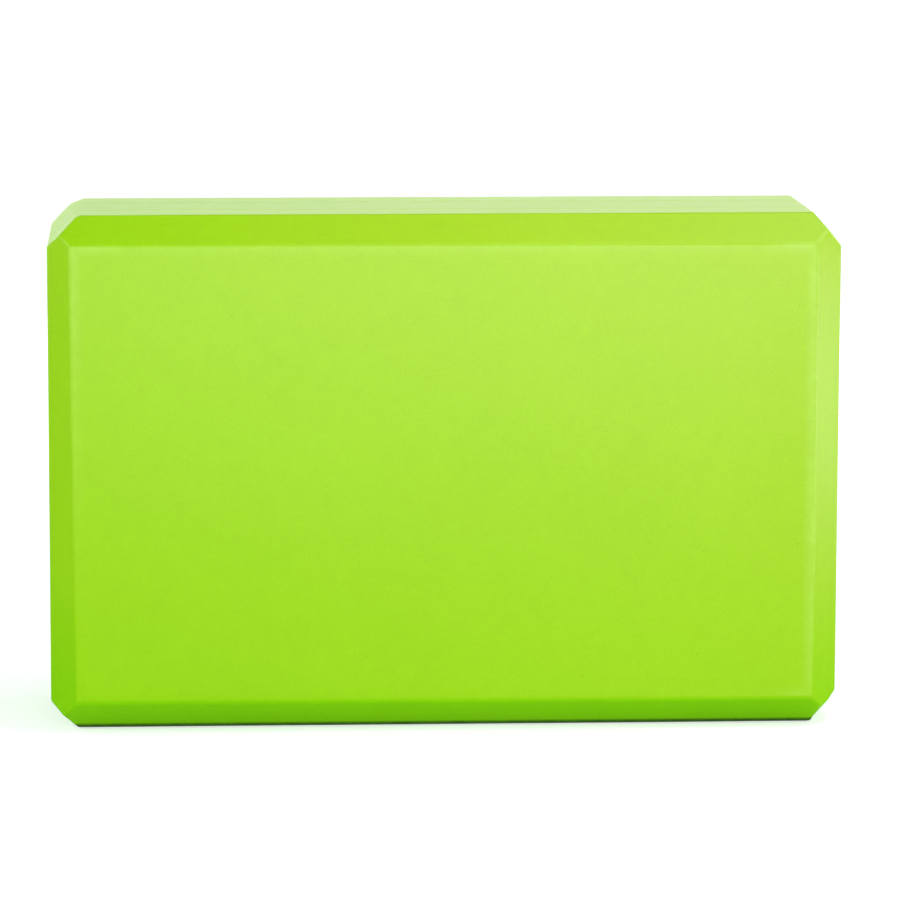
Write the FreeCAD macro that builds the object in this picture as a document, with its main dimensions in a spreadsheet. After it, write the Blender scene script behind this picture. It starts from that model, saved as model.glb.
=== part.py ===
import FreeCAD, Part
import os
import Sketcher

# A foam yoga block, standing on one of its long narrow sides.
# Three sheets of closed-cell foam are glued face to face. The glued blank is then cut to a
# rectangle, all twelve of its edges are bevelled, and handling softens the edges that are left.
#
# Frame: X runs along the length, Y through the thickness with the front face towards -Y,
# Z up along the height. The origin is under the middle of the block, on what it stands on.

# Driving dimensions in millimetres: name, value and what it measures.
DIMENSIONS = [
    ("block_length", 230.0, "length of the block over its two ends"),
    ("block_height", 150.0, "height of the block as it stands on a long side"),
    ("sheet_thickness", 25.0, "thickness of each of the three foam sheets"),
    ("glue_thickness", 0.2, "thickness of the adhesive film between two sheets"),
    ("long_edge_bevel", 8.5, "leg of the bevels along the top and bottom of each broad face"),
    ("end_edge_bevel", 7.5, "leg of the bevels along the two ends of each broad face"),
    ("corner_bevel", 8.3, "leg of the bevels through the thickness, at the four corners"),
    ("edge_radius", 1.0, "rounding of the edges between the cut faces"),
]

# Sizes that follow from the driving dimensions, as expressions on the sheet.
HALF_LENGTH = "dimensions.block_length / 2"
HALF_HEIGHT = "dimensions.block_height / 2"
THICKNESS = "(3 * dimensions.sheet_thickness + 2 * dimensions.glue_thickness)"
HALF_THICKNESS = THICKNESS + " / 2"

# The faces where the sheets meet the glue, as distances from the middle plane.
INNER_FACE = "dimensions.sheet_thickness / 2"
OUTER_FACE = "(dimensions.sheet_thickness / 2 + dimensions.glue_thickness)"

# The three sets of bevel cuts: name, the plane that the four edges of a set stand square to,
# half the blank's size across and up in that plane, and the leg of the bevel.
EDGE_CUTS = [
    ("long_edge_cuts", "YZ_Plane", HALF_THICKNESS, HALF_HEIGHT, "dimensions.long_edge_bevel"),
    ("end_edge_cuts", "XY_Plane", HALF_LENGTH, HALF_THICKNESS, "dimensions.end_edge_bevel"),
    ("corner_cuts", "XZ_Plane", HALF_LENGTH, HALF_HEIGHT, "dimensions.corner_bevel"),
]

# Each piece and the stretch of the thickness that it fills. The outer sheets' slabs run past
# the broad faces, so the bevelled blank alone gives those their shape.
PIECES = [
    ("front_foam_layer", "-" + THICKNESS, "-" + OUTER_FACE),
    ("front_glue_film", "-" + OUTER_FACE, "-" + INNER_FACE),
    ("middle_foam_layer", "-" + INNER_FACE, INNER_FACE),
    ("back_glue_film", INNER_FACE, OUTER_FACE),
    ("back_foam_layer", OUTER_FACE, THICKNESS),
]

# How a sketch numbers the two ends of a line, and its own origin point.
START = 1
END = 2
ORIGIN = (-1, START)

# A sketch is drawn at this rough size first, and its constraints then set the real one.
ROUGH = 10.0


def make_sheet(doc):
    """The spreadsheet of driving dimensions, one named cell to a row."""
    sheet = doc.addObject("Spreadsheet::Sheet", "dimensions")
    for row, (name, value, meaning) in enumerate(DIMENSIONS, start=1):
        sheet.set(f"A{row}", name)
        sheet.set(f"B{row}", str(value))
        sheet.set(f"C{row}", meaning)
        sheet.setAlias(f"B{row}", name)
    doc.recompute()


def new_sketch(body, name, plane):
    """An empty sketch on one of the body's own origin planes."""
    sketch = body.newObject("Sketcher::SketchObject", name)
    origin_plane = [feature for feature in body.Origin.OriginFeatures if feature.Role == plane][0]
    sketch.AttachmentSupport = [(origin_plane, "")]
    sketch.MapMode = "FlatFace"
    return sketch


def bind(sketch, constraint, name, expression):
    """Add a named constraint to the sketch and let an expression set its value."""
    index = sketch.addConstraint(constraint)
    sketch.renameConstraint(index, name)
    sketch.setExpression(f"Constraints.{name}", expression)


def draw_loop(sketch, corners):
    """A closed loop of lines through the corners. Returns the numbers of its lines."""
    points = [FreeCAD.Vector(x, y, 0) for x, y in corners]
    following = points[1:] + points[:1]
    lines = [sketch.addGeometry(Part.LineSegment(a, b)) for a, b in zip(points, following)]
    for line, next_line in zip(lines, lines[1:] + lines[:1]):
        sketch.addConstraint(Sketcher.Constraint("Coincident", line, END, next_line, START))
    return lines


def draw_blank_outline(sketch):
    """The rectangle that the glued blank is sawn to, centred on the sketch's origin."""
    corners = [(-ROUGH, -ROUGH), (ROUGH, -ROUGH), (ROUGH, ROUGH), (-ROUGH, ROUGH)]
    bottom, right, top, left = draw_loop(sketch, corners)
    for line in (bottom, top):
        sketch.addConstraint(Sketcher.Constraint("Horizontal", line))
    for line in (left, right):
        sketch.addConstraint(Sketcher.Constraint("Vertical", line))
    sketch.addConstraint(Sketcher.Constraint("Symmetric", bottom, START, top, START, *ORIGIN))
    bind(sketch, Sketcher.Constraint("Distance", bottom, 2 * ROUGH), "across", "dimensions.block_length")
    bind(sketch, Sketcher.Constraint("Distance", right, 2 * ROUGH), "up", "dimensions.block_height")


def draw_edge_cuts(sketch, half_across, half_up, leg):
    """A right triangle over each corner of a centred rectangle, with both legs on its sides."""
    for side_name, side in (("left", -1), ("right", 1)):
        for level_name, level in (("low", -1), ("high", 1)):
            corner = (side * 2 * ROUGH, level * 2 * ROUGH)
            beside = (side * ROUGH, level * 2 * ROUGH)
            inward = (side * 2 * ROUGH, level * ROUGH)
            across_leg, _, up_leg = draw_loop(sketch, [corner, beside, inward])
            sketch.addConstraint(Sketcher.Constraint("Horizontal", across_leg))
            sketch.addConstraint(Sketcher.Constraint("Vertical", up_leg))
            sketch.addConstraint(Sketcher.Constraint("Equal", across_leg, up_leg))

            place = f"{side_name}_{level_name}"
            bind(sketch, Sketcher.Constraint("Distance", across_leg, ROUGH), f"leg_{place}", leg)
            outward = (*ORIGIN, across_leg, START)
            backward = (across_leg, START, *ORIGIN)
            across = Sketcher.Constraint("DistanceX", *(outward if side > 0 else backward), 2 * ROUGH)
            up = Sketcher.Constraint("DistanceY", *(outward if level > 0 else backward), 2 * ROUGH)
            bind(sketch, across, f"across_{place}", half_across)
            bind(sketch, up, f"up_{place}", half_up)


def cut_edges(doc, body, name, plane, half_across, half_up, leg):
    """Bevel the four edges that stand square to a plane with one straight cut each."""
    volume_before = body.Shape.Volume
    sketch = new_sketch(body, name + "_outline", plane)
    draw_edge_cuts(sketch, half_across, half_up, leg)
    cut = body.newObject("PartDesign::Pocket", name)
    cut.Profile = sketch
    cut.Type = "ThroughAll"
    cut.SideType = "Symmetric"
    doc.recompute()
    removed = volume_before - body.Shape.Volume
    if removed <= 0:
        raise RuntimeError(f"{name} cut nothing away")
    print(f"{name}: {removed:.0f} cubic mm cut away")
    return cut


def make_bevelled_blank(doc):
    """The glued blank, sawn to size and bevelled on all twelve edges.

    Three sets of straight cuts, one along each axis, give the corners their mitred point:
    three bevels meet there, with no extra facet.
    """
    body = doc.addObject("PartDesign::Body", "bevelled_blank")
    body.setExpression("Placement.Base.z", HALF_HEIGHT)

    outline = new_sketch(body, "blank_outline", "XZ_Plane")
    draw_blank_outline(outline)
    blank = body.newObject("PartDesign::Pad", "blank")
    blank.Profile = outline
    blank.SideType = "Symmetric"
    blank.setExpression("Length", THICKNESS)
    doc.recompute()

    for name, plane, half_across, half_up, leg in EDGE_CUTS:
        last_cut = cut_edges(doc, body, name, plane, half_across, half_up, leg)

    softened = body.newObject("PartDesign::Fillet", "softened_edges")
    edge_count = len(last_cut.Shape.Edges)
    softened.Base = (last_cut, [f"Edge{number}" for number in range(1, edge_count + 1)])
    softened.setExpression("Radius", "dimensions.edge_radius")
    body.Tip = softened
    doc.recompute()
    return body


def make_piece(doc, blank, label, start, end):
    """One sheet or glue film: what the bevelled blank holds between two planes."""
    slab = doc.addObject("Part::Box", label + "_slab")
    slab.setExpression("Length", "2 * dimensions.block_length")
    slab.setExpression("Width", f"({end}) - ({start})")
    slab.setExpression("Height", "2 * dimensions.block_height")
    slab.setExpression("Placement.Base.x", "-dimensions.block_length")
    slab.setExpression("Placement.Base.y", start)
    slab.setExpression("Placement.Base.z", "-" + HALF_HEIGHT)

    piece = doc.addObject("Part::Common", label)
    piece.Label = label
    piece.Base = blank
    piece.Tool = slab
    return piece


def check_document(doc, pieces):
    """Stop if any object failed to compute, or if a piece isn't one sound solid."""
    for thing in doc.Objects:
        if "Invalid" in thing.State or "Error" in thing.State:
            raise RuntimeError(f"{thing.Label} failed: {thing.State}")
    for piece in pieces:
        shape = piece.Shape
        if shape.isNull() or not shape.isValid() or len(shape.Solids) != 1:
            raise RuntimeError(f"{piece.Label} is not one valid solid")


def main():
    doc = FreeCAD.newDocument("yoga_block")
    make_sheet(doc)
    blank = make_bevelled_blank(doc)
    pieces = [make_piece(doc, blank, label, start, end) for label, start, end in PIECES]
    doc.recompute()
    check_document(doc, pieces)

    os.makedirs("parts", exist_ok=True)
    for piece in pieces:
        box = piece.Shape.BoundBox
        print(
            f"{piece.Label}: {box.XLength:.2f} x {box.YLength:.2f} x {box.ZLength:.2f} mm, "
            f"{piece.Shape.Volume:.0f} cubic mm"
        )
        piece.Shape.exportStep(f"parts/{piece.Label}.step")


main()
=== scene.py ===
# %% [markdown]
# A yoga block is a brick of closed-cell foam, here in lime green and stood on a long narrow side.
# The imported CAD model is loaded first, as a fixed frame. The sizes could be typed in again, but
# reading them from the frame keeps every piece in the same metres and the same place as the solid
# that it stands for. The CAD model's box is kept.

# %% Load the frame
import math

import bmesh
import bpy
from mathutils import Matrix, Vector, noise


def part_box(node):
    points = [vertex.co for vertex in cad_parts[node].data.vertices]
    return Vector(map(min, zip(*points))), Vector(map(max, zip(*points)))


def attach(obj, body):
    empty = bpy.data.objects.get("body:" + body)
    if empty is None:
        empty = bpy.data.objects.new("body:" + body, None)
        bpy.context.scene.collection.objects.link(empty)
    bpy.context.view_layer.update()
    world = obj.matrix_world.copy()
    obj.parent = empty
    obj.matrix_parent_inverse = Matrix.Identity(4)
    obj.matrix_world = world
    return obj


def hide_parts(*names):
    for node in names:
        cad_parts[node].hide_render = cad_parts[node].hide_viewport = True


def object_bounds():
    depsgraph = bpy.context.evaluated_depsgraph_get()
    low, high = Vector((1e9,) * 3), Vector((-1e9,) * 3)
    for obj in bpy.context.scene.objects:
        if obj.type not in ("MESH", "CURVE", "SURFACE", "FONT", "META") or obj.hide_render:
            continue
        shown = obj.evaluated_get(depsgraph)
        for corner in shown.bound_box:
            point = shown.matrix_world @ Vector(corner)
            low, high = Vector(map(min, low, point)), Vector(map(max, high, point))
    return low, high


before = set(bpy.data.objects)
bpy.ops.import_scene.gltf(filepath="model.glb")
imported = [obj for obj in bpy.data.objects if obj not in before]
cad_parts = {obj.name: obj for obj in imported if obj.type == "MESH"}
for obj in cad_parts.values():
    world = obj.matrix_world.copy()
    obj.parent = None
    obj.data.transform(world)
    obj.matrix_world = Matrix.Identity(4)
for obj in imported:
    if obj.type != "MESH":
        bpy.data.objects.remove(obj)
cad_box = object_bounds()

MM = 0.001
low, high = cad_box
size = high - low
middle = (low + high) / 2
print("CAD box in mm:", [round(side / MM, 2) for side in size])

# %% [markdown]
# On the bench the block begins as three foam sheets glued face to face and sawn to a brick. It
# could start from the CAD mesh, but that is loose triangles, so it starts again as a cube that is
# scaled to the box. Saws lean: at the right end the cut of the real block runs inwards by
# less than a millimetre on its way down, and the outline in the photograph shows it.

# %% The sawn brick
RIGHT_END_LEAN = 0.7 * MM
TINY = 0.001 * MM

block = bmesh.new()
on_rounding = block.verts.layers.float.new("on_rounding")
painted_light = block.verts.layers.float.new("painted_light")
saw_line = block.faces.layers.float_vector.new("saw_line")
bmesh.ops.create_cube(block, size=1)
bmesh.ops.scale(block, vec=size, verts=block.verts)
bmesh.ops.translate(block, vec=middle, verts=block.verts)


def everything(shape):
    return shape.verts[:] + shape.edges[:] + shape.faces[:]


def cut_away(shape, point, outward):
    """Throw away what lies beyond a plane, close the cut with a flat face and return its rim."""
    cut = bmesh.ops.bisect_plane(
        shape, geom=everything(shape), dist=TINY,
        plane_co=point, plane_no=outward, clear_outer=True,
    )
    rim = [part for part in cut["geom_cut"] if isinstance(part, bmesh.types.BMEdge)]
    bmesh.ops.edgeloop_fill(shape, edges=rim)
    return rim


cut_away(block, high, Vector((size.z, 0, -RIGHT_END_LEAN)).normalized())
print("the sawn brick has", len(block.faces), "sides")

# %% [markdown]
# A blade then takes off all twelve edges. The bevel operator could do that in one step, but it
# makes every chamfer even. These cuts are guided by hand: each is a flat plane that ends a
# little deeper or shallower than it starts, and three of them meet in a mitred point at each
# corner. So each bevel is a slice, placed by its legs on the two sides that it lies between.

# %% The twelve bevels
SIDES = {
    "left": Vector((-1, 0, 0)),
    "right": Vector((1, 0, 0)),
    "front": Vector((0, -1, 0)),
    "back": Vector((0, 1, 0)),
    "bottom": Vector((0, 0, -1)),
    "top": Vector((0, 0, 1)),
}

# Each bevel's legs in millimetres, on the first side and on the second, and how much both grow
# on the way from left to right, from front to back or from the bottom to the top.
BEVELS = {
    ("front", "top"): (8.2, 8.2, 0.3),
    ("front", "bottom"): (8.7, 8.7, -0.4),
    ("front", "left"): (7.7, 7.7, -1.0),
    ("front", "right"): (8.4, 8.4, -0.6),
    ("top", "left"): (9.1, 9.1, -1.7),
    ("top", "right"): (8.2, 9.7, 0.0),
    ("bottom", "left"): (7.9, 8.2, 0.3),
    ("bottom", "right"): (8.5, 10.4, -0.4),
    ("back", "top"): (8.5, 8.5, 0.2),
    ("back", "bottom"): (8.4, 8.4, 0.3),
    ("back", "left"): (7.5, 7.5, 0.2),
    ("back", "right"): (7.8, 7.8, -0.3),
}


def edge_end(sides, far):
    """One end of the brick's edge between two sides: the near one, or the far one."""
    point = Vector(high if far else low)
    for side in sides:
        for axis, step in enumerate(SIDES[side]):
            if step:
                point[axis] = high[axis] if step > 0 else low[axis]
    return point


def bevel_lines(sides):
    """Where a bevel meets its first side and its second, each as the line's near and far end."""
    first_leg, second_leg, growth = BEVELS[sides]
    first, second = (SIDES[side] for side in sides)
    near, far = edge_end(sides, far=False), edge_end(sides, far=True)
    later = 1 + growth / first_leg
    on_first = near - second * first_leg * MM, far - second * first_leg * later * MM
    on_second = near - first * second_leg * MM, far - first * second_leg * later * MM
    return on_first, on_second


def bevel_direction(sides):
    """The way a bevel faces, outwards."""
    (near, far), (other, _) = bevel_lines(sides)
    outward = (other - near).cross(far - near).normalized()
    return outward if outward.dot(SIDES[sides[0]]) > 0 else -outward


for sides in BEVELS:
    cut_away(block, bevel_lines(sides)[0][0], bevel_direction(sides))
print("the bevelled brick has", len(block.faces), "sides and", len(block.edges), "edges")

# %% [markdown]
# A block slides and lands on its rims, and some wear down more than others: the rims that it
# stands on, and the one that leads to the upper left corner at the back. More rounding would be
# simpler, but it would also blunt the crisp rims round the front. So each of these rims loses a
# slim flat, halfway between the two sides that meet there, and the front corner at the lower right
# loses its point.

# %% Rubbed rims
BEVEL_TURN = math.radians(45)

# A bevel, the side that its rubbed rim is on, and the width of the flat there in millimetres, at
# the near end and at the far end.
RUBBED_RIMS = [
    (("front", "bottom"), "front", 1.2, 1.2),
    (("front", "bottom"), "bottom", 1.2, 1.2),
    (("back", "bottom"), "back", 1.2, 1.2),
    (("back", "bottom"), "bottom", 1.2, 1.2),
    (("top", "left"), "top", 1.4, 4.2),
]
CORNER_TILT = 0.5
RUBBED_CORNER = (SIDES["right"] + SIDES["bottom"] + CORNER_TILT * SIDES["front"]).normalized()
RUBBED_CORNER_DEPTH = 0.9 * MM


def rub_depth(width):
    return width * MM / 2 * math.tan(BEVEL_TURN / 2)


for sides, side, near_width, far_width in RUBBED_RIMS:
    near, far = bevel_lines(sides)[sides.index(side)]
    outward = (SIDES[side] + bevel_direction(sides)).normalized()
    start = near - outward * rub_depth(near_width)
    run = far - outward * rub_depth(far_width) - start
    cut_away(block, start, (outward - outward.project(run)).normalized())

corner_point = max((point.co for point in block.verts), key=RUBBED_CORNER.dot)
cut_away(block, corner_point - RUBBED_CORNER * RUBBED_CORNER_DEPTH, RUBBED_CORNER)
print("the rubbed brick has", len(block.faces), "sides and", len(block.edges), "edges")

# %% [markdown]
# Foam gives, so no edge stays sharp: handling rounds each one to about a millimetre. A Bevel
# modifier would round them too, but the bevel operator leaves the new faces at hand, and the
# finish wants to know where they are. The rims are painted paler, as rubbing and as a painted
# highlight, and the foot's rim carries a painted contact shadow, so the points of the roundings
# are marked, and an inset lets that mark fade out on the flat sides. It is narrow on the sides
# that were cut, and wider on the two broad faces, whose skin wears softly.

# %% Rounded edges
EDGE_ROUNDING = 1.2 * MM
ROUNDING_STEPS = 4
CUT_MARGIN = 0.8 * MM
SKIN_MARGIN = 3.0 * MM
FLAT_SIDES = len(SIDES) + len(BEVELS)
BROAD_FACES = 2

bmesh.ops.bevel(
    block, geom=block.edges[:], offset=EDGE_ROUNDING * math.tan(BEVEL_TURN / 2),
    offset_type="OFFSET", segments=ROUNDING_STEPS, profile=0.5, affect="EDGES", material=-1,
)
for point in block.verts:
    point[on_rounding] = 1
flats = sorted(block.faces, key=lambda face: face.calc_area())[-FLAT_SIDES:]
skins, cuts = flats[-BROAD_FACES:], flats[:-BROAD_FACES]
bmesh.ops.inset_individual(block, faces=cuts, thickness=CUT_MARGIN, use_even_offset=True)
bmesh.ops.inset_individual(block, faces=skins, thickness=SKIN_MARGIN, use_even_offset=True)
for face in flats:
    for point in face.verts:
        point[on_rounding] = 0
print("with rounded edges the block has", len(block.faces), "faces")

# %% [markdown]
# No sawn side is a perfect plane. A displacement map in the material would wave the light but
# leave the outline straight, so the mesh itself gets a relief of a tenth of a millimetre. For
# that it needs points: planes score lines round the block, closer beside the seams, and each
# point then sinks along its normal by a smooth noise. Nothing rises, so the block keeps its box.

# %% A gentle relief
ALONG_LENGTH, ALONG_THICKNESS, ALONG_HEIGHT = SIDES["right"], SIDES["back"], SIDES["top"]
GRID = 5 * MM
SEAM_MARGIN = 0.4 * MM
RELIEF_DEPTH = 0.12 * MM
RELIEF_SPAN = 38 * MM

seams = [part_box(node)[end].y for node in ("front_glue_film", "back_glue_film") for end in (0, 1)]
print("seam faces at y in mm:", [round(seam / MM, 2) for seam in seams])


def score_lines(shape, axis, places):
    """Draw a line round the shape at each place along an axis, without cutting it apart."""
    for place in places:
        bmesh.ops.bisect_plane(
            shape, geom=everything(shape), dist=TINY, plane_co=axis * place, plane_no=axis
        )


for number, axis in enumerate((ALONG_LENGTH, ALONG_THICKNESS, ALONG_HEIGHT)):
    steps = int(size[number] / GRID)
    first_line = middle[number] - GRID * (steps - 1) / 2
    score_lines(block, axis, [first_line + GRID * step for step in range(steps)])
beside_seams = [seam + margin for seam, margin in zip(seams, (-SEAM_MARGIN, SEAM_MARGIN) * 2)]
score_lines(block, ALONG_THICKNESS, beside_seams)

block.normal_update()
for point in block.verts:
    # The noise goes from -1 to 1, and the wave from 0 to 1.
    wave = 0.5 + 0.5 * noise.noise(point.co / RELIEF_SPAN)
    point.co -= point.normal * RELIEF_DEPTH * wave
print("the scored block has", len(block.verts), "points")

# %% [markdown]
# The broad faces are the skin of the foam sheets, but every other side was cut, and a blade
# leaves faint lines along its path. Those lines run another way on each side, so no one texture
# direction fits. Each face stores the direction of its own blade instead, as a vector that the
# material reads. The broad faces store no direction, which the material reads as skin.

# %% Which way each blade ran
# A normal with more than the first of these along y is on the skin. One with less than the second
# along an axis is square to that axis.
SKIN_TILT = 0.75
SQUARE_TILT = 0.3


def blade_direction(normal):
    """The way the blade went over a face: none on the sheets' skin."""
    if abs(normal.y) > SKIN_TILT:
        return Vector((0, 0, 0))
    if abs(normal.y) < SQUARE_TILT:
        return ALONG_THICKNESS
    if abs(normal.x) < SQUARE_TILT:
        return ALONG_LENGTH
    return ALONG_HEIGHT


block.normal_update()
for face in block.faces:
    face[saw_line] = blade_direction(face.normal)
    face.smooth = True
print("faces with blade lines:", sum(1 for face in block.faces if face[saw_line].length > 0))

# %% [markdown]
# Light and shade are painted into this foam's colour. The upper right of the block is painted a
# yellower lime as painted light and takes a faint polish, while what faces the floor and the foot
# keep a deeper, duller green as painted shade. A gradient in the material would treat a bevel like
# the face beside it, so each point stores its share of painted light: by its place, more evenly
# along the face than along the bevels above it, and less if it faces down or is cut foam near the
# foot.

# %% Painted light and shade
# The share of painted light at the foot, what height and length add to it and what the upper
# bevels add along the length, then the height and strength of the painted shade near the foot.
LIGHT_AT_FOOT = 0.5
LIGHT_BY_HEIGHT = 0.4
LIGHT_BY_LENGTH = 0.3
LIGHT_ALONG_UPPER_BEVELS = 0.6
FOOT_HEIGHT = 45 * MM
FOOT_SHADE = 0.55


def painted_light_at(point):
    """The share of painted light at a point, from 0, in painted shade, to 1."""
    height = point.co.z - low.z
    # Doubled, the product is 1 on a bevel that leans back by 45 degrees, and 0 on a flat side.
    on_upper_bevel = 2 * max(0, point.normal.z) * abs(point.normal.y)
    slope = LIGHT_BY_LENGTH + LIGHT_ALONG_UPPER_BEVELS * on_upper_bevel
    placed = LIGHT_BY_HEIGHT * height / size.z + slope * (point.co.x - middle.x) / size.x
    on_cut = min(1, (1 - abs(point.normal.y)) / (1 - math.cos(BEVEL_TURN)))
    shaded = FOOT_SHADE * on_cut * max(0, 1 - height / FOOT_HEIGHT)
    # Cut foam near the foot and what faces down get less, as painted shade.
    return min(1, max(0, LIGHT_AT_FOOT + placed - shaded + min(0, point.normal.z)))


for point in block.verts:
    point[painted_light] = painted_light_at(point)
print("points that nothing reaches:", sum(1 for point in block.verts if point[painted_light] == 0))

# %% [markdown]
# Shader sums read best as sums. This small class wraps the output of a node, so that Python's
# own operators add the Math nodes, also with a plain number on the left as in 1 - mask. All
# other nodes come from one method of the tree, which sets a node's options and then fills its
# sockets with values or links. Wiring by hand would say the same in many more lines.

# %% Shader sums
class Wire:
    """An output of a node, which can be added, subtracted and multiplied."""

    def __init__(self, tree, node, output):
        self.tree = tree
        self.node = node
        self.socket = node.outputs[output]

    def also(self, output):
        """Another output of the same node."""
        return Wire(self.tree, self.node, output)

    def maths(self, operation, first, second):
        return self.tree.add("ShaderNodeMath", {"operation": operation}, {0: first, 1: second})

    def __add__(self, other):
        return self.maths("ADD", self, other)

    def __radd__(self, other):
        return self.maths("ADD", other, self)

    def __sub__(self, other):
        return self.maths("SUBTRACT", self, other)

    def __rsub__(self, other):
        return self.maths("SUBTRACT", other, self)

    def __mul__(self, other):
        return self.maths("MULTIPLY", self, other)

    def __rmul__(self, other):
        return self.maths("MULTIPLY", other, self)


class Tree:
    """The nodes of a material or of the world."""

    def __init__(self, owner):
        owner.use_nodes = True
        self.nodes = owner.node_tree.nodes
        self.links = owner.node_tree.links
        self.nodes.clear()

    def add(self, kind, settings, sockets, output=0):
        """A new node with its settings made and its sockets filled. Returns one of its outputs."""
        node = self.nodes.new(kind)
        for name, value in settings.items():
            setattr(node, name, value)
        for name, value in sockets.items():
            if isinstance(value, Wire):
                self.links.new(value.socket, node.inputs[name])
            else:
                node.inputs[name].default_value = value
        return Wire(self, node, output) if node.outputs else node


print("shader sums are ready")

# %% [markdown]
# A finish is a pattern over the piece's own coordinates, and its grain is easier to size in
# millimetres than in metres. These helpers give a place in millimetres, a soft noise with a
# given span, and a sprinkle of spots of a given size. Image textures could do it too, but a
# pattern made of nodes has no seams and stays sharp at any distance.

# %% Patterns in millimetres
DETAIL, FINE_DETAIL = 2.0, 3.0

# A spot is full as far out as this share of its radius, and kept or left out within this step.
SPOT_CORE = 0.5
CHANCE_STEP = 0.02


def place_in_mm(tree):
    metres = tree.add("ShaderNodeTexCoord", {}, {}, "Object")
    return tree.add("ShaderNodeVectorMath", {"operation": "SCALE"}, {0: metres, "Scale": 1 / MM})


def clouds(tree, place, span, detail=DETAIL):
    """Soft noise around zero, from about -0.5 to 0.5, with lumps of about the span."""
    sockets = {"Vector": place, "Scale": 1 / span, "Detail": detail, "Roughness": 0.5}
    return tree.add("ShaderNodeTexNoise", {}, sockets) - 0.5


def ramp(tree, value, start, end):
    """A smooth step from 0 at the start to 1 at the end."""
    settings = {"interpolation_type": "SMOOTHSTEP"}
    sockets = {"Value": value, "From Min": start, "From Max": end}
    return tree.add("ShaderNodeMapRange", settings, sockets)


def spots(tree, place, spacing, radius, share, shift):
    """A mask of round spots, about one to each cube of the spacing, of which a share is kept."""
    shifts = (shift, shift, shift)
    moved = tree.add("ShaderNodeVectorMath", {"operation": "ADD"}, {0: place, 1: shifts})
    cell = tree.add("ShaderNodeTexVoronoi", {}, {"Vector": moved, "Scale": 1 / spacing})
    chance = tree.add("ShaderNodeSeparateColor", {}, {"Color": cell.also("Color")})
    kept = 1 - ramp(tree, chance, share, share + CHANCE_STEP)
    return kept * (1 - ramp(tree, cell * spacing, SPOT_CORE * radius, radius))


print("patterns are ready")

# %% [markdown]
# Some marks on the foam depend on their place. A blade drags its lines along its path, so their
# pattern is stretched along the stored direction. The rims are painted paler, as rubbing and as a
# painted highlight, more where light is painted and most of all near the two ends, and the rim at
# the foot is painted dark as contact shadow. One mask for every rim would be simpler, but it would
# draw an even pale frame round the broad face.

# %% Marks on the foam
# The span of the blade lines in millimetres, and how much of the way along them is taken out.
BLADE_LINE_SPAN = 0.9
BLADE_STRETCH = 0.97

# How much painted light a rim has where its paleness of rubbing and painted highlight starts and
# where it is full, and how pale it gets. The ends add to that, between two distances from the
# middle in millimetres.
RIM_START_LIGHT, RIM_FULL_LIGHT = 0.4, 0.9
ENDS_START, ENDS_FULL = 90, 104
RUB_AND_HIGHLIGHT, END_RUB_AND_HIGHLIGHT = 0.18, 0.52

# Heights in millimetres of the painted contact shadow. Up to the first only the underside's rim is
# painted dark, and from the second on every point is. From the third on the painted shadow fades,
# and it ends at the fourth.
UNDERSIDE_TOP, RIM_START = 0.15, 0.35
SHADOW_FULL, SHADOW_END = 0.9, 1.9


def stored(tree, name, output):
    """A layer of the mesh, by its name."""
    return tree.add("ShaderNodeAttribute", {"attribute_name": name}, {}, output)


def blade_lines(tree, place, blade):
    """Fine noise, drawn out along the blade's path."""
    project = {"operation": "DOT_PRODUCT"}
    along = tree.add("ShaderNodeVectorMath", project, {0: place, 1: blade}, "Value")
    back = along * -BLADE_STRETCH
    squeeze = tree.add("ShaderNodeVectorMath", {"operation": "SCALE"}, {0: blade, "Scale": back})
    squeezed = tree.add("ShaderNodeVectorMath", {"operation": "ADD"}, {0: place, 1: squeeze})
    return clouds(tree, squeezed, BLADE_LINE_SPAN, FINE_DETAIL)


def rub_and_highlight_mask(tree, place, edge, light_share):
    """Rims painted pale, as rubbing and highlight: more with painted light and near the ends."""
    across = tree.add("ShaderNodeSeparateXYZ", {}, {"Vector": place}, "X")
    from_middle = across.maths("ABSOLUTE", across, 0)
    near_ends = ramp(tree, from_middle, ENDS_START, ENDS_FULL)
    return edge * ramp(tree, light_share, RIM_START_LIGHT, RIM_FULL_LIGHT) * (RUB_AND_HIGHLIGHT + END_RUB_AND_HIGHLIGHT * near_ends)


def painted_contact_shadow(tree, place, edge):
    """Painted contact shadow round the foot. Away from its rim the underside stays unshaded."""
    height = tree.add("ShaderNodeSeparateXYZ", {}, {"Vector": place}, "Z")
    above = ramp(tree, height, UNDERSIDE_TOP, RIM_START)
    return edge.maths("MAXIMUM", edge, above) * (1 - ramp(tree, height, SHADOW_FULL, SHADOW_END))


print("marks are ready")

# %% [markdown]
# The lime is painted deep where shade is painted and yellower where light is painted. Rubbing and
# a painted highlight make the rims paler, and a painted contact shadow makes the foot's rim dark.
# One colour ramp could hold all four, but a ramp follows a single value, and here each change has
# a mask of its own. So one colour is blended over another, one after the other.

# %% The foam's colours
# The lime in painted shade and in painted light, the pale rim of rubbing and painted highlight,
# and the dark of the painted contact shadow.
SHADED_LIME = (0.285, 0.73, 0.003, 1)
LIT_LIME = (0.43, 0.745, 0.004, 1)
RUB_AND_HIGHLIGHT_LIME = (0.52, 0.86, 0.10, 1)
CONTACT_SHADOW_LIME = (0.04, 0.15, 0.004, 1)

# A Mix node has its own sockets for each kind of data. These are the numbers of those for colour.
MIX_SHARE, MIX_FIRST, MIX_SECOND = 0, 6, 7
MIX_RESULT = 2


def blend(tree, share, first, second):
    """A colour that turns from the first into the second as the share goes from 0 to 1."""
    sockets = {MIX_SHARE: share, MIX_FIRST: first, MIX_SECOND: second}
    return tree.add("ShaderNodeMix", {"data_type": "RGBA"}, sockets, MIX_RESULT)


print("lime greens are ready")
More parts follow.
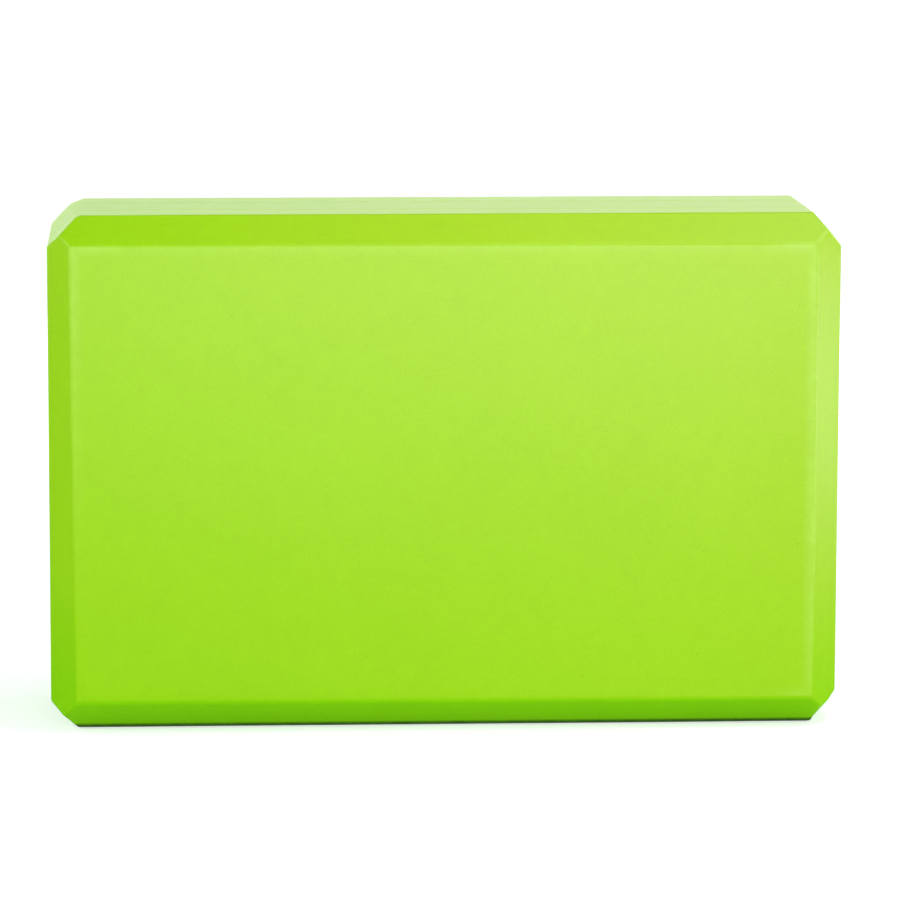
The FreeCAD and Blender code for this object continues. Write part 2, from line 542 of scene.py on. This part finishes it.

# %% [markdown]
# The foam is dyed through, so in the small its colour hardly changes: a broad unevenness, a finer
# mottle and the pale and dark dots of the cells, which are a third of a millimetre wide. A few
# cells are large enough to see as pinholes, and a few specks are paler. Cut sides are duller than
# the skin and show the pale rims of rubbing and painted highlight less. A single colour with a
# bump would look like plastic, so each of these goes into colour, roughness and bump at its own
# size, and the marks go on top, with their painted light and shade.

# %% The foam finish
# The size of each pattern in millimetres, then what it does to the shade, and how far it rises or
# sinks, again in millimetres.
CELL_SPAN, MOTTLE_SPAN, BROAD_SPAN = 0.35, 4, 45
CELL_SHADE, MOTTLE_SHADE, BROAD_SHADE = 0.05, 0.06, 0.06
LINE_SHADE, PINHOLE_SHADE, SPECK_PALENESS = 0.05, 0.16, 0.5
CELL_RISE, MOTTLE_RISE, LINE_RISE, PINHOLE_DEPTH = 0.03, 0.03, 0.02, 0.2
BUMP_STRENGTH = 0.6

# How rough and how polished the foam is.
ROUGHNESS, CUT_ROUGHNESS, MOTTLE_ROUGHNESS, RUB_ROUGHNESS = 0.30, 0.03, 0.15, 0.10
COAT, CUT_COAT_LOSS, COAT_ROUGHNESS = 0.5, 0.25, 0.28
SPECULAR = 0.03

# How much of the rims' rubbing and painted highlight a cut side is spared, how dark the painted
# contact shadow is, and how uneven both are.
CUT_RUB_AND_HIGHLIGHT_LOSS, RUB_AND_HIGHLIGHT_UNEVENNESS = 0.75, 1.2
CONTACT_SHADOW_STRENGTH, CONTACT_SHADOW_UNEVENNESS = 0.95, 0.4


def foam_finish(name, tone):
    """Closed-cell foam. The tone makes one sheet a little lighter or darker than another."""
    material = bpy.data.materials.new(name)
    tree = Tree(material)
    place = place_in_mm(tree)
    broad = clouds(tree, place, BROAD_SPAN)
    mottle = clouds(tree, place, MOTTLE_SPAN, FINE_DETAIL)
    cell = tree.add("ShaderNodeTexVoronoi", {}, {"Vector": place, "Scale": 1 / CELL_SPAN})
    cell_tint = tree.add("ShaderNodeSeparateColor", {}, {"Color": cell.also("Color")}) - 0.5
    pinholes = spots(tree, place, spacing=9, radius=0.34, share=0.5, shift=0)
    specks = spots(tree, place, spacing=16, radius=0.45, share=0.4, shift=40)

    edge, light_share = stored(tree, "on_rounding", "Fac"), stored(tree, "painted_light", "Fac")
    blade = stored(tree, "saw_line", "Vector")
    cut = tree.add("ShaderNodeVectorMath", {"operation": "LENGTH"}, {0: blade}, "Value")
    lines = cut * blade_lines(tree, place, blade)
    # The rims are painted paler, partly as rubbing and partly as a painted highlight.
    rub_and_highlight = rub_and_highlight_mask(tree, place, edge, light_share)
    rub_and_highlight = rub_and_highlight * (1 - CUT_RUB_AND_HIGHLIGHT_LOSS * cut) * (1 + RUB_AND_HIGHLIGHT_UNEVENNESS * mottle)
    # A dark line of painted contact shadow along the foot.
    contact_shadow = painted_contact_shadow(tree, place, edge) * (CONTACT_SHADOW_STRENGTH + CONTACT_SHADOW_UNEVENNESS * mottle)

    # Painted light and shade first, then the pale rims of rubbing and painted highlight, then the
    # painted contact shadow at the foot.
    lit_and_shaded = blend(tree, light_share, SHADED_LIME, LIT_LIME)
    marked = blend(tree, rub_and_highlight + SPECK_PALENESS * specks, lit_and_shaded, RUB_AND_HIGHLIGHT_LIME)
    shadowed = blend(tree, contact_shadow, marked, CONTACT_SHADOW_LIME)
    shade = tone + BROAD_SHADE * broad + MOTTLE_SHADE * mottle + CELL_SHADE * cell_tint
    shade = shade + LINE_SHADE * lines - PINHOLE_SHADE * pinholes
    colour = tree.add("ShaderNodeVectorMath", {"operation": "SCALE"}, {0: shadowed, "Scale": shade})
    relief = CELL_RISE * cell + LINE_RISE * lines + MOTTLE_RISE * mottle - PINHOLE_DEPTH * pinholes
    bump_sockets = {"Strength": BUMP_STRENGTH, "Distance": MM, "Height": relief}
    bump = tree.add("ShaderNodeBump", {}, bump_sockets)
    roughness = ROUGHNESS + CUT_ROUGHNESS * cut + MOTTLE_ROUGHNESS * mottle
    roughness = roughness + RUB_ROUGHNESS * rub_and_highlight
    surface = {
        "Base Color": colour,
        "Roughness": roughness,
        "Normal": bump,
        "Coat Weight": light_share * (COAT - CUT_COAT_LOSS * cut),
        "Coat Roughness": COAT_ROUGHNESS,
        "Specular IOR Level": SPECULAR,
    }
    shader = tree.add("ShaderNodeBsdfPrincipled", {}, surface)
    tree.add("ShaderNodeOutputMaterial", {}, {"Surface": shader})
    return material


SHEET_TONES = {"front_foam": 1.0, "middle_foam": 0.98, "back_foam": 1.01}
foam_finishes = {name: foam_finish(name + "_finish", tone) for name, tone in SHEET_TONES.items()}
print("foam finishes:", ", ".join(foam_finishes))

# %% [markdown]
# Contact adhesive dries to a thin rubbery film. Where the saw went through it, only its edge
# shows, as a hairline between two sheets that is a little darker and shinier than the foam. A
# painted line on one solid block could stand for it, but as a film of its own it can be taken
# out or recoloured, like the solid in the CAD model.

# %% The glue finish
GLUE = (0.22, 0.46, 0.03)
FILM_SPAN, FILM_SHADE = 6, 0.3
FILM_GRAIN_SPAN, FILM_GRAIN_RISE, FILM_BUMP_STRENGTH = 0.5, 0.03, 0.5
FILM_ROUGHNESS, FILM_UNEVENNESS, FILM_SPECULAR = 0.35, 0.2, 0.4


def glue_finish():
    material = bpy.data.materials.new("glue_finish")
    tree = Tree(material)
    place = place_in_mm(tree)
    thick_and_thin = clouds(tree, place, FILM_SPAN, FINE_DETAIL)
    grain = clouds(tree, place, FILM_GRAIN_SPAN)
    shade = 1 + FILM_SHADE * thick_and_thin
    colour = tree.add("ShaderNodeVectorMath", {"operation": "SCALE"}, {0: GLUE, "Scale": shade})
    relief = FILM_GRAIN_RISE * grain
    bump_sockets = {"Strength": FILM_BUMP_STRENGTH, "Distance": MM, "Height": relief}
    bump = tree.add("ShaderNodeBump", {}, bump_sockets)
    surface = {
        "Base Color": colour,
        "Roughness": FILM_ROUGHNESS + FILM_UNEVENNESS * thick_and_thin,
        "Normal": bump,
        "Specular IOR Level": FILM_SPECULAR,
    }
    shader = tree.add("ShaderNodeBsdfPrincipled", {}, surface)
    tree.add("ShaderNodeOutputMaterial", {}, {"Surface": shader})
    return material


dried_glue = glue_finish()
print("made", dried_glue.name)

# %% [markdown]
# Now the block comes apart into its sheets. Each could be modelled on its own, but then their
# surfaces would have to be matched at every seam. Slicing copies of the one finished block gives
# sides that run straight on from sheet to sheet. A fine bevel at each sliced rim is what a
# finger feels as the seam.

# %% The three foam sheets
SEAM_ROUNDING = 0.12 * MM
SEAM_STEPS = 2


def sliced(start, end):
    """What the block holds between two places along its thickness, with the rims of the cuts."""
    piece = block.copy()
    rims = []
    if start is not None:
        rims += cut_away(piece, SIDES["back"] * start, SIDES["front"])
    if end is not None:
        rims += cut_away(piece, SIDES["back"] * end, SIDES["back"])
    return piece, [edge for edge in rims if edge.is_valid]


def set_out(shape, name, finish, node):
    """Make a finished piece of a shape, in the place of a CAD node."""
    bmesh.ops.dissolve_degenerate(shape, dist=TINY, edges=shape.edges)
    bmesh.ops.recalc_face_normals(shape, faces=shape.faces)
    mesh = bpy.data.meshes.new(name)
    shape.to_mesh(mesh)
    shape.free()
    mesh.materials.append(finish)
    piece = bpy.data.objects.new(name, mesh)
    bpy.context.scene.collection.objects.link(piece)
    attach(piece, "root")
    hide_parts(node)
    sides = [round(side / MM, 2) for side in piece.dimensions]
    print(name, "measures", sides, "mm in", len(mesh.polygons), "faces")
    return piece


SHEETS = [
    ("front_foam", "front_foam_layer", None, seams[0]),
    ("middle_foam", "middle_foam_layer", seams[1], seams[2]),
    ("back_foam", "back_foam_layer", seams[3], None),
]
for name, node, start, end in SHEETS:
    sheet, rims = sliced(start, end)
    bmesh.ops.bevel(
        sheet, geom=rims, offset=SEAM_ROUNDING, offset_type="OFFSET", segments=SEAM_STEPS,
        profile=0.5, affect="EDGES", material=-1,
    )
    for face in sheet.faces:
        face.smooth = True
    foam = set_out(sheet, name, foam_finishes[name], node)

# %% [markdown]
# The two glue films are slices of the same block, a fifth of a millimetre thick. Left as they
# are, they would lie flush with the sides. Rubber shrinks as it dries, so each film is scaled
# down by a hair, which sinks its edge into the seam.

# %% The two glue films
GLUE_SHRINKAGE = 0.15 * MM
FILMS = [
    ("front_glue_line", "front_glue_film", seams[0], seams[1]),
    ("back_glue_line", "back_glue_film", seams[2], seams[3]),
]
shrunk = Vector((1 - 2 * GLUE_SHRINKAGE / size.x, 1, 1 - 2 * GLUE_SHRINKAGE / size.z))
for name, node, start, end in FILMS:
    film, _ = sliced(start, end)
    bmesh.ops.scale(film, vec=shrunk, space=Matrix.Translation(-middle), verts=film.verts)
    set_out(film, name, dried_glue, node)
block.free()

# %% [markdown]
# The stage is a plain pale floor under a white sky. A white card would need more light than the
# block to come out white, and that light would wash out the lime. So rays from the camera, and
# rays seen in a reflection, find the sky at strength 1, and the floor adds a glow for those same
# rays only. Near the block the glow is weaker and the lamps do the rest, so its shadow stays.

# %% Floor and sky
WHITE = (1, 1, 1, 1)
FLOOR_SIDE = 40.0
FLOOR_PALE = (0.62, 0.70, 0.68, 1)
SKY_LIGHT = 0.20

# The floor's glow near the block and far from it, and the two distances in metres.
GLOW_NEAR, GLOW_FAR = 0.60, 0.92
NEAR, FAR = 0.40, 0.62


def seen_rays(tree):
    """1 for rays that show a background: from the camera, in a reflection or through glass."""
    camera = tree.add("ShaderNodeLightPath", {}, {}, "Is Camera Ray")
    glossy = camera.also("Is Glossy Ray")
    through = camera.also("Is Transmission Ray")
    return 1 - (1 - camera) * (1 - glossy) * (1 - through)


floor_material = bpy.data.materials.new("pale_floor")
floor_tree = Tree(floor_material)
matt = floor_tree.add("ShaderNodeBsdfDiffuse", {}, {"Color": FLOOR_PALE})
place = floor_tree.add("ShaderNodeTexCoord", {}, {}, "Object")
distance = floor_tree.add("ShaderNodeVectorMath", {"operation": "LENGTH"}, {0: place}, "Value")
white = GLOW_NEAR + (GLOW_FAR - GLOW_NEAR) * ramp(floor_tree, distance, NEAR, FAR)
glow = floor_tree.add("ShaderNodeEmission", {}, {"Color": white * seen_rays(floor_tree)})
glowing = floor_tree.add("ShaderNodeAddShader", {}, {0: matt, 1: glow})
floor_tree.add("ShaderNodeOutputMaterial", {}, {"Surface": glowing})

floor_shape = bmesh.new()
bmesh.ops.create_grid(floor_shape, x_segments=1, y_segments=1, size=FLOOR_SIDE / 2)
floor_mesh = bpy.data.meshes.new("floor")
floor_shape.to_mesh(floor_mesh)
floor_shape.free()
floor_mesh.materials.append(floor_material)
floor = bpy.data.objects.new("floor", floor_mesh)
bpy.context.scene.collection.objects.link(floor)

sky = bpy.data.worlds.new("white_sky")
bpy.context.scene.world = sky
sky_tree = Tree(sky)
strength = SKY_LIGHT + (1 - SKY_LIGHT) * seen_rays(sky_tree)
background = sky_tree.add("ShaderNodeBackground", {}, {"Color": WHITE, "Strength": strength})
sky_tree.add("ShaderNodeOutputWorld", {}, {"Surface": background})
print("floor of", FLOOR_SIDE, "m under a white sky")

# %% [markdown]
# The photograph was lit softly from all round, and the bevels tell from where: the top and right
# bevels carry pale gleams, and the bottom bevel is the darkest. One small lamp would give hard
# shadows, so each lamp is a wide panel aimed at the block. Panels in front and at the left light
# the broad face and its left bevel, a low strip at the right end and two panels overhead make the
# gleams, and those behind light the far sides. Their strengths were set against the photograph.

# %% Soft lamps
# Each panel's place, its width and height in metres, its power in watts and its colour.
LAMPS = [
    ("front_panel", (0.03, -0.65, 0.18), (0.42, 0.34), 2.05, (1.00, 0.95, 1.00)),
    ("front_right_panel", (0.24, -0.62, 0.16), (0.30, 0.26), 0.27, (1.00, 0.85, 0.88)),
    ("right_strip", (0.50, -0.02, 0.055), (0.14, 0.09), 0.47, (1.00, 0.87, 1.00)),
    ("top_right_panel", (0.30, -0.13, 0.85), (0.30, 0.30), 1.64, (1.00, 1.00, 1.00)),
    ("top_panel", (0.10, -0.13, 0.85), (0.34, 0.30), 0.57, (0.82, 0.98, 1.00)),
    ("left_panel", (-0.70, -0.25, 0.27), (0.50, 0.50), 1.28, (0.86, 1.00, 0.97)),
    ("behind_panel", (0.00, 1.00, 0.45), (0.90, 0.80), 1.13, (1.00, 0.90, 0.98)),
    ("back_left_panel", (-0.75, 0.65, 0.35), (0.50, 0.50), 3.00, (1.00, 1.00, 1.00)),
    ("back_right_panel", (0.75, 0.65, 0.35), (0.50, 0.50), 3.00, (1.00, 1.00, 1.00)),
]
for name, place, (width, height), power, colour in LAMPS:
    lamp = bpy.data.lights.new(name, "AREA")
    lamp.shape = "RECTANGLE"
    lamp.size = width
    lamp.size_y = height
    lamp.energy = power
    lamp.color = colour
    panel = bpy.data.objects.new(name, lamp)
    panel.location = place
    panel.visible_camera = False
    panel.rotation_euler = (middle - Vector(place)).to_track_quat("-Z", "Y").to_euler()
    bpy.context.scene.collection.objects.link(panel)
    print(name, "of", power, "W at", place)

# %% [markdown]
# The camera stands a little above the block and slightly to its left, far off and with a long
# lens, so its edges stay almost parallel. Its place was found by matching the block's edges with
# those in the photograph, and is written as angles and a distance, as on a tripod.

# %% Camera
# The distance is in metres, and the lens and its sensor are in millimetres.
AZIMUTH = math.radians(-2.9)
ELEVATION = math.radians(7.51)
DISTANCE = 1.570
LENS = 212.1
SENSOR_WIDTH = 36
AIM = Vector((2.81 * MM, 0, 77.2 * MM))

backward = Vector((
    math.sin(AZIMUTH) * math.cos(ELEVATION),
    -math.cos(AZIMUTH) * math.cos(ELEVATION),
    math.sin(ELEVATION),
))
camera_data = bpy.data.cameras.new("camera")
camera_data.lens = LENS
camera_data.sensor_width = SENSOR_WIDTH
camera = bpy.data.objects.new("camera", camera_data)
camera.location = AIM + backward * DISTANCE
camera.rotation_euler = backward.to_track_quat("Z", "Y").to_euler()
bpy.context.scene.collection.objects.link(camera)
bpy.context.scene.camera = camera
bpy.context.scene.view_settings.view_transform = "Standard"
print("camera at", [round(value, 3) for value in camera.location], "m")
